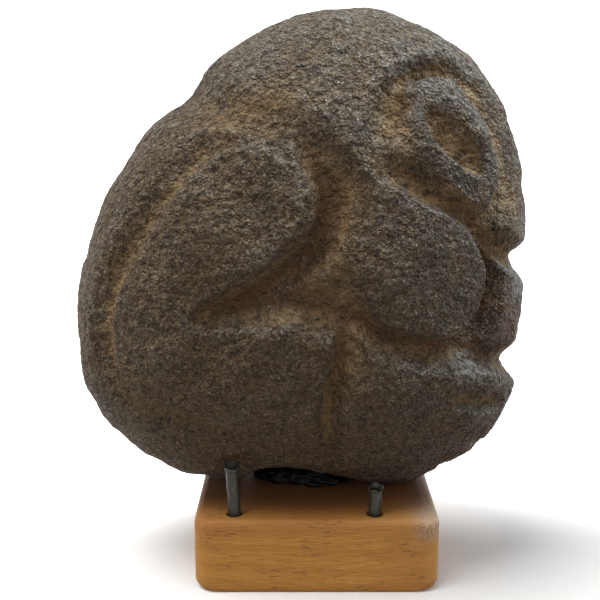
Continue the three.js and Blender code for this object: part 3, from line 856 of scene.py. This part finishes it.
def eye_ring(p):
    """1 on the ring of the eye and in it, 0 outside, and how far out each point is in it."""
    reach, across = oval_place(p, EYE_RING)
    low_side = smooth(RING_LOW_TURN * across)
    start = RING_FROM + RING_LOW_FROM * low_side
    return 1 - smooth((reach - start) / (RING_FADE + RING_LOW_FADE * low_side)), reach


def carving(pebble):
    """How far the carved face stands above the pebble, in mm."""
    p = near_side_of(pebble)
    height = -all_cuts(p)
    ring, reach = eye_ring(p)
    rounded = EYE_RING["rise"] * (1 - RING_ROUNDING * reach * reach)
    height = height + ring * (rounded - height)
    height = height - ring * cut_depth(p, EYE_PIT)
    for swell in SWELLS:
        height = height + swell["rise"] * in_oval(p, swell, SWELL_REACH)
    return height * (1 - (1 - FAR_SIDE_DEPTH) * smooth(pebble[:, 1] / FAR_SIDE_FADE))


def unevenness(p):
    """The slow and the quicker waves that pecking by hand leaves in the surface, in mm."""
    x, y, z = p.T
    slow = np.sin(x * 0.17 + z * 0.05 + 1) * np.sin(y * 0.13 + z * 0.11 + 0.4)
    quick = np.sin(x * 0.31 - z * 0.27 + y * 0.2)
    return SLOW_WAVES * slow + QUICK_WAVES * quick


def peck_tree():
    """Sinks peck marks and grit into the stone, by as much as it is lifted on the whole, and
    leaves it as it is where it comes near the top of the block."""
    nodes, given = shape_tree("peck marks", {
        "Mark size": 5.5, "Mark depth": 0.8, "Grit size": 3.2, "Grit depth": 1.1,
        "Bend scale": 260.0, "Bend": 0.006, "Lift": 0.6, "Seed": 3.0, "Finish": None})
    place = nodes.add("GeometryNodeInputPosition")
    seeded = nodes.moved(place, nodes.vector(given["Seed"], 0.0, 0.0))
    warp = nodes.add("ShaderNodeTexNoise", {}, {
        "Vector": seeded, "Scale": given["Bend scale"]}, "Color")
    bent = nodes.moved(seeded, nodes.scaled(warp, given["Bend"]))
    marks = nodes.add("ShaderNodeTexVoronoi", {"feature": "SMOOTH_F1"}, {
        "Vector": bent, "Scale": 1 / (given["Mark size"] * MM), "Smoothness": 0.4})
    grit = nodes.add("ShaderNodeTexNoise", {}, {
        "Vector": seeded, "Scale": 1 / (given["Grit size"] * MM), "Detail": 3.0,
        "Roughness": 0.6})
    sink = (1 - marks.at_most(1)) * given["Mark depth"] + grit * given["Grit depth"]
    _, _, height = place.parts()
    free = height.rise((BLOCK_TOP + 0.4) * MM, (BLOCK_TOP + 4) * MM)
    sink = (sink - given["Lift"]) * free
    drop = nodes.scaled(nodes.add("GeometryNodeInputNormal"), sink * -MM)
    shape = nodes.add("GeometryNodeSetPosition", {}, {
        "Geometry": given["Geometry"], "Offset": drop})
    return finish_tree(nodes, shape, given["Finish"])


def store(piece, name, values):
    """Keeps one number for each point of the piece's mesh, for its finish."""
    kept = piece.data.attributes.new(name, "FLOAT", "POINT")
    kept.data.foreach_set("value", np.asarray(values, np.float32))


def point_values(piece, name):
    """The places or the normals of the piece's points."""
    values = np.zeros(len(piece.data.vertices) * 3)
    piece.data.vertices.foreach_get(name, values)
    return values.reshape(-1, 3)


def stand_out(piece, rounds):
    """How far each point stands out of its surroundings, in mm, after that many smoothings."""
    mesh = piece.data
    points, normals = point_values(piece, "co"), point_values(piece, "normal")
    ends = np.zeros(len(mesh.edges) * 2, int)
    mesh.edges.foreach_get("vertices", ends)
    a, b = ends.reshape(-1, 2).T
    count = np.bincount(ends, minlength=len(points))
    soft = points.copy()
    results = []
    for step in range(1, max(rounds) + 1):
        for c in range(3):
            total = np.bincount(a, soft[b, c], len(points))
            total += np.bincount(b, soft[a, c], len(points))
            soft[:, c] = 0.5 * soft[:, c] + 0.5 * total / count
        if step in rounds:
            results.append(((points - soft) * normals).sum(1) / MM)
    return results


def in_spots(points, spots):
    """How far each point lies in the nearest of the spots, from 0 to the spot's most. The
    spots are the same on both sides of the head."""
    near_points = np.where([False, True, False], -np.abs(points), points)
    inside = np.zeros(len(points))
    for spot in spots:
        out = np.linalg.norm((near_points - spot["middle"]) / spot["reach"], axis=1)
        inside = np.maximum(inside, spot["most"] * (1 - smooth((out - 0.5) / 0.6)))
    return inside


def stone_finish():
    """Brown stone with grey clouds, dark patches, dirt in the cuts, pores, grains and pits,
    painted shade in the deepest cuts, painted glints and a painted sheen.

    The attributes say how far each point stands out of what is close by (edge) and how far
    it lies in a hollow (shelter), both in mm, and how strong the rest is there.
    """
    stone = Finish("pecked volcanic stone")
    edge, shelter, darkened, worn_and_painted_light, soiled, deep = (stone.attribute(name) for name in (
        "edge", "shelter", "darkened", "worn_and_painted_light", "soiled", "deep"))
    grain = stone.noise(stone.place, 0.8, 2.0, 0.7)
    grit = stone.noise(stone.place, 1.9, 3.0, 0.6)
    patches = stone.noise(stone.place, 3.4, 3.0, 0.6)
    blotch = stone.noise(stone.place, 5, 4.0, 0.6)
    clouds = stone.noise(stone.place, 16, 3.0)
    _, _, height = stone.place.parts()
    crown = height.rise(0.12, 0.172) * clouds.rise(0.3, 0.55)
    colour = stone.mix(clouds.rise(0.4, 0.65) * 0.4, STONE_BROWN, STONE_GREY)
    colour = stone.mix(crown * 0.6, colour, STONE_GREY)
    colour = stone.mix(grit.rise(0.5, 0.66) * 0.45, colour, STONE_GREY)
    dark = patches.rise(0.5, 0.62) * 0.6 + darkened * clouds.rise(0.25, 0.45) * 0.55
    colour = stone.mix(dark.at_most(0.85), colour, STONE_DARK)
    colour = stone.mix(blotch.rise(0.5, 0.64) * 0.4, colour, STONE_RUST)
    # Painted highlights: a paler grey sheen on the sheen spots and the edges that face up.
    colour = stone.mix(worn_and_painted_light * grit.rise(0.35, 0.55) * 0.6, colour, STONE_SHEEN)
    dirt = (soiled * 0.85 + shelter.rise(0.2, 1.5) * 0.35) * blotch.rise(0.24, 0.58)
    dirt = dirt.at_most(1)
    colour = stone.mix(dirt * 0.8, colour, STONE_OCHRE)
    colour = stone.mix(deep * 0.8, colour, STONE_RUST)
    # Painted shade: the deepest parts of the cuts go darker, and under the nose near black.
    colour = stone.mix(deep.rise(0.6, 1.0) * 0.25, colour, STONE_PIT)
    colour = stone.mix(deep.rise(0.95, 1.35) * 0.55, colour, STONE_PIT)
    clean = (1 - dirt * 0.5) * (1 - deep * 0.5)
    pores = (1 - grit.rise(0.36, 0.52)).at_least(1 - grain.rise(0.3, 0.48))
    colour = stone.mix(pores * clean * 0.75, colour, STONE_PORE)
    grains = grain.rise(0.54, 0.66) * clean
    colour = stone.mix(grains * 0.65, colour, STONE_GRAIN)
    warp = stone.add("ShaderNodeTexNoise", {}, {"Vector": stone.place, "Scale": 900.0}, "Color")
    bent = stone.moved(stone.place, stone.scaled(warp, 0.0012))
    holes = stone.noise(bent, 1.5, 1.0)
    pits = (1 - holes.rise(0.27, 0.36)) * clouds.rise(0.35, 0.55)
    colour = stone.mix(pits * 0.8, colour, STONE_PIT)
    # Painted highlights: small glints on the edges that stand out and on the crown.
    chips = stone.add("ShaderNodeTexVoronoi", {}, {"Vector": bent, "Scale": 800.0})
    glint_places = edge.rise(-0.1, 0.2) + crown
    painted_glints = (1 - chips.rise(0.16, 0.32)) * grit.rise(0.46, 0.58) * glint_places
    colour = stone.mix(painted_glints.at_most(1) * 0.75, colour, STONE_GLINT)
    stone.set(Base_Color=colour, Roughness=0.75 - grains * 0.35)
    stone.shader.inputs["Specular IOR Level"].default_value = 0.28
    rough = (grain * 0.4 + grit * 1.7) * clean + patches * 2.4
    stone.bump(rough - pits + painted_glints * 0.2, 2.4)
    return stone.material


# The pebble starts as a box of even cells, and its points then move out by the relief.
stone_lines = [np.tan((np.arange(c + 1) / c - 0.5) * np.pi / 2) for c in STONE_CELLS]
stone_box, stone_quads = box_grid(stone_lines)
stone_box = stone_box * [BROAD_SIDE, 1, BROAD_SIDE]
ways = stone_box / np.linalg.norm(stone_box, axis=1)[:, None]
pebble = HEART + ways / pebble_level(HEART + ways)[:, None]
relief = carving(pebble) + unevenness(pebble)
carved = pebble + pebble_normal(pebble) * relief[:, None]
carved[:, 2] = np.maximum(carved[:, 2], arch_height(carved[:, 0], carved[:, 1]))
head = new_piece("stone_carving", carved, stone_quads)
apply_tree(head, peck_tree(), Finish=stone_finish())

# Where each point lay on the near side of the uncut pebble says which cut it is in. Two
# rounds of filling its cut come close enough.
points = point_values(head, "co") / MM
uncut = near_side_of(HEART + (points - HEART) / pebble_level(points)[:, None])
for _ in range(2):
    filled = near_side_of(points) + pebble_normal(uncut) * all_cuts(uncut)[:, None]
    uncut = HEART + (filled - HEART) / pebble_level(filled)[:, None]
ring, _ = eye_ring(uncut)
cuts = all_cuts(uncut) * (1 - ring)
pit = cut_depth(uncut, EYE_PIT) * ring
stands_out, stands_far_out = stand_out(head, (EDGE_ROUNDS, SHELTER_ROUNDS))
store(head, "edge", stands_out)
store(head, "shelter", -stands_far_out)

# The face and the ring are darker, and the sheen spots and the edges that face up are
# painted paler, as highlights.
face = smooth((uncut[:, 0] - FACE_FROM) / FACE_FADE)
face = face * smooth((BROW_TOP - uncut[:, 2]) / BROW_FADE)
rim = RING_DARKNESS * ring * (1 - smooth(pit / 1.5))
store(head, "darkened", np.maximum(face, rim))
upward = smooth((point_values(head, "normal")[:, 2] + 0.05) / 0.7)
lit_edges = smooth((stands_far_out - 0.15) / 0.9) * upward * EDGE_SHEEN
worn_and_painted_light = in_spots(points, SHEEN_SPOTS)
in_sheen = np.minimum(worn_and_painted_light, 1)
store(head, "worn_and_painted_light", np.maximum(lit_edges, worn_and_painted_light))

# The dirt is ochre from 1 mm of depth on and rust-brown from 3.6 mm on, and the deepest
# cuts are painted darker, as shade.
dirty = sum(in_oval(uncut, oval, DIRTY_REACH) for oval in DIRTY_OVALS)
dirty = np.maximum(np.minimum(dirty, 1) * (1 - ring), smooth((pit - 1) / 2) * 1.2)
soiled = np.maximum(smooth((cuts - 1) / DIRT_FADE) * 0.9, dirty)
store(head, "soiled", soiled * (1 - 0.7 * in_sheen))
deep = smooth((cuts - RUST_DEPTH) / DIRT_FADE) * (1 - dirty) * (1 - in_sheen)
store(head, "deep", np.maximum(deep, in_spots(points, RUST_AND_SHADE_SPOTS)))
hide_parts("stone_head")
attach(head, "root")

# The studio: a white floor and backdrop, a wide soft light from above on the left, and a
# cooler one on the right, which doesn't light the floor. The camera looks at the head's
# side, a little from above. Places are in metres.
FLOOR_WHITE = (0.95, 0.95, 0.95, 1)
LEAST_GLOW = (0, 0, 0, 1)
MOST_GLOW = (1, 1, 1, 1)
SKY = (0.55, 0.55, 0.55, 1)
GROUND = (0.23, 0.18, 0.13, 1)
FOCAL_PIXELS = 950
FRAME_PIXELS = 600
SENSOR_WIDTH = 36
CAMERA_PLACE = (0, -0.3166, 0.1583)
CAMERA_DOWN = 12.6
AIM = Vector((0, 0, 0.09))
NEAREST_SEEN = 0.01
BACKDROP_SIDES = 48
BACKDROP_REACH = 6
BACKDROP_HEIGHT = 4
SOFTBOX = (-0.42, -0.08, 1.2)
SOFTBOX_POWER = 2.8
SOFTBOX_WIDTH = 38
SOFTBOX_COLOUR = (1, 0.995, 0.98)
COOL_LAMP = (0.3, -0.03, 0.56)
COOL_POWER = 3.7
COOL_SIZE = 0.2
COOL_COLOUR = (0.62, 0.8, 1)
# How strong each glows, and how far behind the head the glow starts and is full.
FLOOR_GLOW = (0.8, -0.01, 0.05)
BACKDROP_GLOW = (1.3, -8, -7)


def white_finish(name, glow, near, far):
    """White that glows more and more from near to far behind the head."""
    white = Finish(name)
    _, behind, _ = white.place.parts()
    white.set(Base_Color=FLOOR_WHITE, Roughness=0.9,
              Emission_Color=white.mix(behind.rise(near, far), LEAST_GLOW, MOST_GLOW))
    white.shader.inputs["Emission Strength"].default_value = glow
    return white.material


def sheet(name, corners, faces, material):
    """A sheet of the studio, which throws no light or shadow back on the piece."""
    mesh = bpy.data.meshes.new(name)
    mesh.from_pydata(corners, [], faces)
    mesh.materials.append(material)
    made = bpy.data.objects.new(name, mesh)
    made.visible_diffuse = False
    made.visible_shadow = False
    bpy.context.scene.collection.objects.link(made)
    return made


def lamp(kind, name, place, energy, colour, **settings):
    """A lamp that shines at the head."""
    light = bpy.data.lights.new(name, kind)
    light.energy = energy
    light.color = colour
    for setting, value in settings.items():
        setattr(light, setting, value)
    made = bpy.data.objects.new(name, light)
    made.location = place
    made.rotation_euler = (AIM - Vector(place)).to_track_quat("-Z", "Y").to_euler()
    bpy.context.scene.collection.objects.link(made)
    return made


turns = [k * 2 * math.pi / BACKDROP_SIDES for k in range(BACKDROP_SIDES)]
rims = [[(BACKDROP_REACH * math.cos(a), BACKDROP_REACH * math.sin(a), z) for a in turns]
        for z in (0, BACKDROP_HEIGHT)]
panels = [(k, (k + 1) % BACKDROP_SIDES, (k + 1) % BACKDROP_SIDES + BACKDROP_SIDES,
           k + BACKDROP_SIDES) for k in range(BACKDROP_SIDES)]
floor = sheet("floor", rims[0], [range(BACKDROP_SIDES)], white_finish("floor", *FLOOR_GLOW))
sheet("backdrop", rims[0] + rims[1], panels, white_finish("backdrop", *BACKDROP_GLOW))
lamp("SUN", "softbox above", SOFTBOX, SOFTBOX_POWER, SOFTBOX_COLOUR,
     angle=math.radians(SOFTBOX_WIDTH))
cool = lamp("AREA", "cool side", COOL_LAMP, COOL_POWER, COOL_COLOUR, size=COOL_SIZE)
passed_by = bpy.data.collections.new("not lit by the cool side")
passed_by.objects.link(floor)
passed_by.collection_objects[0].light_linking.link_state = "EXCLUDE"
cool.light_linking.receiver_collection = passed_by
world = bpy.data.worlds.new("studio")
bpy.context.scene.world = world
bpy.context.scene.view_settings.view_transform = "Standard"
world.use_nodes = True
sky = Nodes(world.node_tree)
_, _, above = sky.add("ShaderNodeTexCoord", out="Generated").parts()
sky.feed(world.node_tree.nodes["Background"].inputs["Color"],
         sky.mix(above.rise(-0.35, 0.35), GROUND, SKY))

view = bpy.data.cameras.new("camera")
view.sensor_width = SENSOR_WIDTH
view.lens = SENSOR_WIDTH * FOCAL_PIXELS / FRAME_PIXELS
view.clip_start = NEAREST_SEEN
camera = bpy.data.objects.new("camera", view)
camera.location = CAMERA_PLACE
camera.rotation_euler = (math.radians(90 - CAMERA_DOWN), 0, 0)
bpy.context.scene.collection.objects.link(camera)
bpy.context.scene.camera = camera
